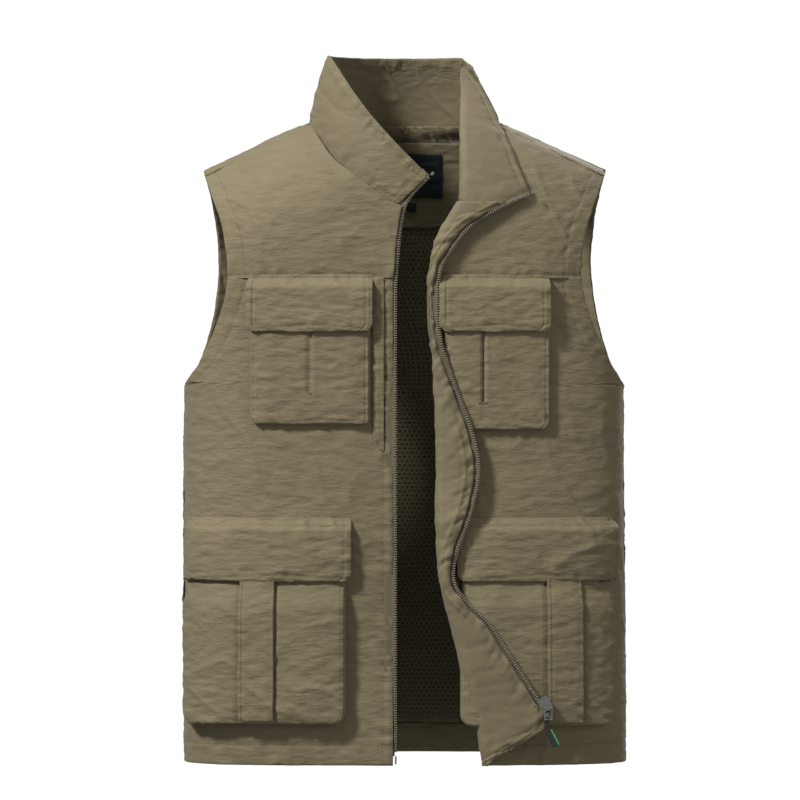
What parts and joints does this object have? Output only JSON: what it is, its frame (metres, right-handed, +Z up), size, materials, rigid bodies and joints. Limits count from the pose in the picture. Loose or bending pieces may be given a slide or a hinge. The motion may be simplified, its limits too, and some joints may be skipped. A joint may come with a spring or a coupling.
{
  "type": "fishing vest",
  "caption": "Sleeveless utility vest with a stand collar, open zip front, mesh-lined back, flapped chest pockets and flapped bellows pockets.",
  "frame": {"origin": "the height where the neck meets the shoulder seams, on the middle of the vest between front and back", "axes": "+Z up, -Y out of the front, +X towards the wearer's left"},
  "size_m": [0.484, 0.227, 0.767],
  "materials": {
    "shell_cloth": "matte",
    "inner_cloth": "matte",
    "mesh_cloth": "matte",
    "label_cloth": "matte",
    "zip_tape": "matte",
    "zip_teeth": "satin",
    "zip_metal": "satin",
    "hook_and_loop": "matte",
    "thread": "satin",
    "pull_rubber": "matte",
    "pull_accent": "matte"
  },
  "bodies": {
    "root": {"back_panel": "shell_cloth", "front_yoke_right": "shell_cloth", "front_yoke_left": "shell_cloth", "collar_outer": "shell_cloth", "collar_lining": "inner_cloth", "armhole_facing_right": "inner_cloth", "armhole_facing_left": "inner_cloth", "neck_facing": "inner_cloth", "neck_band": "shell_cloth", "neck_label": "label_cloth", "size_tab": "label_cloth", "mesh_lining_back": "mesh_cloth", "back_hem_facing": "shell_cloth", "front_facing_left_upper": "inner_cloth", "zip_tape_right_upper": "zip_tape", "zip_teeth_right_upper": "zip_teeth", "zip_tape_left_upper": "zip_tape", "zip_teeth_left_upper": "zip_teeth", "zip_top_stops": "zip_metal"},
    "right_front": {"front_panel_right": "shell_cloth", "front_lining_right": "mesh_cloth", "front_facing_right": "inner_cloth", "placket_right": "shell_cloth", "zip_tape_right": "zip_tape", "zip_teeth_right": "zip_teeth", "zip_insertion_pin": "zip_metal", "hidden_pocket_welt": "shell_cloth", "hidden_pocket_bag": "inner_cloth", "chest_pocket_right": "shell_cloth", "chest_loop_tape_right": "hook_and_loop", "lower_pocket_right": "shell_cloth", "lower_strap_right": "shell_cloth", "lower_loop_tape_right": "hook_and_loop", "bar_tacks_right": "thread"},
    "left_front": {"front_panel_left": "shell_cloth", "front_lining_left": "mesh_cloth", "front_facing_left": "inner_cloth", "zip_tape_left": "zip_tape", "zip_teeth_left": "zip_teeth", "zip_retainer_box": "zip_metal", "chest_pocket_left": "shell_cloth", "chest_loop_tape_left": "hook_and_loop", "lower_pocket_left": "shell_cloth", "lower_strap_left": "shell_cloth", "lower_loop_tape_left": "hook_and_loop", "bar_tacks_left": "thread"},
    "right_chest_flap": {"chest_flap_right": "shell_cloth", "chest_hook_tape_right": "hook_and_loop"},
    "right_lower_flap": {"lower_flap_right": "shell_cloth", "lower_hook_tape_right": "hook_and_loop"},
    "left_chest_flap": {"chest_flap_left": "shell_cloth", "chest_hook_tape_left": "hook_and_loop"},
    "left_lower_flap": {"lower_flap_left": "shell_cloth", "lower_hook_tape_left": "hook_and_loop"},
    "slider": {"zip_slider": "zip_metal"},
    "pull": {"pull_link": "zip_metal"},
    "grip": {"pull_cord": "pull_rubber", "pull_grip": "pull_rubber", "grip_stripe": "pull_accent"}
  },
  "joints": [
    {"name": "right_front_open", "type": "hinge", "parent": "root", "child": "right_front", "pos_m": [-0.2422, 0, -0.43], "axis": [0, 0, -1], "range_deg": [0, 25], "stiffness_Nm_per_rad": 0.4},
    {"name": "left_front_open", "type": "hinge", "parent": "root", "child": "left_front", "pos_m": [0.2422, 0, -0.43], "axis": [0, 0, 1], "range_deg": [0, 25], "stiffness_Nm_per_rad": 0.4},
    {"name": "right_chest_flap_lift", "type": "hinge", "parent": "right_front", "child": "right_chest_flap", "pos_m": [-0.102, -0.1095, -0.1758], "axis": [-1, 0, 0], "range_deg": [0, 110]},
    {"name": "right_lower_flap_lift", "type": "hinge", "parent": "right_front", "child": "right_lower_flap", "pos_m": [-0.147, -0.1095, -0.4388], "axis": [-1, 0, 0], "range_deg": [0, 110]},
    {"name": "left_chest_flap_lift", "type": "hinge", "parent": "left_front", "child": "left_chest_flap", "pos_m": [0.102, -0.1095, -0.1758], "axis": [-1, 0, 0], "range_deg": [0, 110]},
    {"name": "left_lower_flap_lift", "type": "hinge", "parent": "left_front", "child": "left_lower_flap", "pos_m": [0.147, -0.1095, -0.4388], "axis": [-1, 0, 0], "range_deg": [0, 110]},
    {"name": "zip_slide", "type": "slide", "parent": "left_front", "child": "slider", "axis": [-0.538, 0, 0.8429], "range_m": [0, 0.08]},
    {"name": "pull_swing", "type": "hinge", "parent": "slider", "child": "pull", "pos_m": [0.1545, -0.1241, -0.6365], "axis": [-1, 0, 0], "range_deg": [0, 90]},
    {"name": "grip_swing", "type": "hinge", "parent": "pull", "child": "grip", "pos_m": [0.1545, -0.1241, -0.6489], "axis": [-1, 0, 0], "range_deg": [0, 60]}
  ]
}
